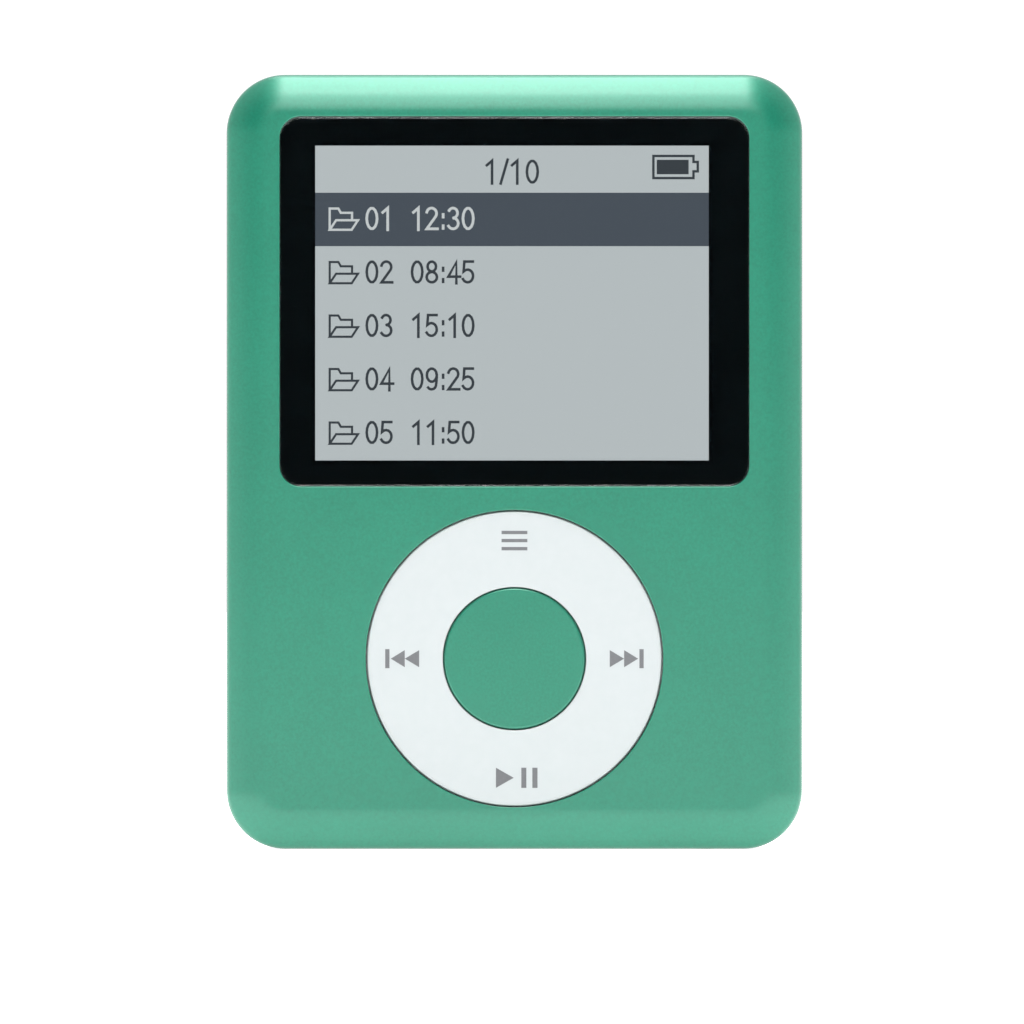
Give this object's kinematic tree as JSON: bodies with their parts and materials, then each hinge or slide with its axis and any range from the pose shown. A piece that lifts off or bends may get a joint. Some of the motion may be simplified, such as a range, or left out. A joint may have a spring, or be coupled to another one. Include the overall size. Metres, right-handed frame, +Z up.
{
  "type": "portable audio player",
  "caption": "Palm-sized audio player with a metal front shell, small display, rocking wheel key with a centre button, sliding hold switch, charging socket and headphone socket.",
  "frame": {"origin": "middle of the bottom edge, at the lowest point of the box around the part", "axes": "+Z up the height, -Y out of the screen, +X to the viewer's right when facing the screen"},
  "size_m": [0.0514, 0.008, 0.0691],
  "materials": {
    "shell_aluminium": "green anodised, bead blasted, satin",
    "cover_steel": "polished stainless steel",
    "frame_plastic": "moulded, matt",
    "clear_acrylic": "clear, gloss",
    "black_tape": "adhesive tape, matt",
    "black_print": "printed ink film",
    "black_foam": "foam",
    "display_glass": "display glass",
    "chip_black": "moulded package",
    "flex_amber": "polyimide film",
    "white_plastic": "moulded, white",
    "ring_white": "moulded, satin gloss",
    "button_green": "moulded, satin",
    "silicone": "moulded silicone",
    "film": "clear film",
    "spring_steel": "spring steel",
    "board_green": "solder mask",
    "screw_steel": "zinc plated",
    "ceramic": "ceramic",
    "battery_foil": "laminated foil",
    "knob_plastic": "moulded, white",
    "socket_steel": "nickel plated steel",
    "socket_plastic": "moulded, black",
    "gold": "gold plated",
    "jack_plastic": "moulded, white"
  },
  "bodies": {
    "case": {"front_shell": "shell_aluminium", "rear_cover": "cover_steel", "mid_frame": "frame_plastic", "display_window": "clear_acrylic", "window_tape": "black_tape", "window_mask": "black_print", "display_cushion": "black_foam", "display_front_glass": "display_glass", "display_rear_glass": "display_glass", "display_driver": "chip_black", "display_flex": "flex_amber", "light_guide": "white_plastic", "backlight_leds": "white_plastic", "display_tray": "white_plastic", "dome_sheet": "film", "ring_domes": "spring_steel", "center_dome": "spring_steel", "main_board": "board_green", "frame_screws": "screw_steel", "processor": "chip_black", "flash_chip": "chip_black", "crystal": "spring_steel", "charge_chip": "chip_black", "board_parts": "ceramic", "battery": "battery_foil", "battery_tape": "black_tape", "battery_board": "board_green", "battery_tab_plus": "spring_steel", "battery_tab_minus": "spring_steel", "hold_switch": "socket_steel", "usb_shell": "socket_steel", "usb_tongue": "socket_plastic", "usb_contacts": "gold", "headphone_jack": "jack_plastic", "jack_contacts": "spring_steel"},
    "key_pad": {"ring_pad": "silicone"},
    "wheel_key": {"nav_ring": "ring_white"},
    "select_button": {"center_button": "button_green"},
    "hold_slider": {"hold_knob": "knob_plastic", "hold_lever": "knob_plastic"}
  },
  "joints": [
    {"name": "wheel_rock_x", "type": "hinge", "parent": "case", "child": "key_pad", "pos_m": [0, -0.0026, 0.01703], "axis": [1, 0, 0], "range_deg": [-1, 1], "stiffness_Nm_per_rad": 0.8, "deforming": ["ring_pad", "ring_domes", "dome_sheet"]},
    {"name": "wheel_rock_z", "type": "hinge", "parent": "key_pad", "child": "wheel_key", "pos_m": [0, -0.0026, 0.01703], "axis": [0, 0, 1], "range_deg": [-1, 1], "stiffness_Nm_per_rad": 0.8, "deforming": ["ring_pad", "ring_domes", "dome_sheet"]},
    {"name": "center_press", "type": "slide", "parent": "case", "child": "select_button", "axis": [0, 1, 0], "range_m": [0, 0.00025], "stiffness_N_per_m": 2000, "deforming": ["center_dome", "dome_sheet"]},
    {"name": "hold_slide", "type": "slide", "parent": "case", "child": "hold_slider", "axis": [1, 0, 0], "range_m": [0, 0.002]}
  ]
}
